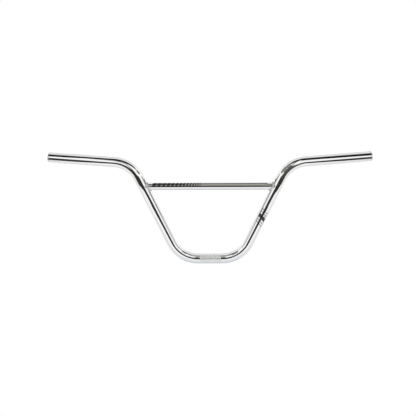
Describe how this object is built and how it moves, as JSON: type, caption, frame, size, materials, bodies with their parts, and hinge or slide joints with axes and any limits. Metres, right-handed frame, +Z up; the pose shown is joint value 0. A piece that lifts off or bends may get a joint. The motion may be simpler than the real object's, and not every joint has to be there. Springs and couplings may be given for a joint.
{
  "type": "bmx handlebar",
  "caption": "High-rise bicycle handlebar: a bent chromed steel tube with a welded crossbar, clamped by a stem and open at both grip ends.",
  "frame": {"origin": "middle of the clamp run, on the axis of the tube that a stem clamps", "axes": "+X along the width to the right as the picture shows it, +Y backwards, the way the grips sweep, +Z up"},
  "size_m": [0.7366, 0.059, 0.2508],
  "materials": {
    "chrome_tube": "polished",
    "chrome_weld": "gloss",
    "clamp_knurl": "satin",
    "printed_film": "gloss"
  },
  "bodies": {
    "root": {"main_tube": "chrome_tube", "crossbar": "chrome_tube", "left_weld": "chrome_weld", "right_weld": "chrome_weld"}
  },
  "joints": []
}
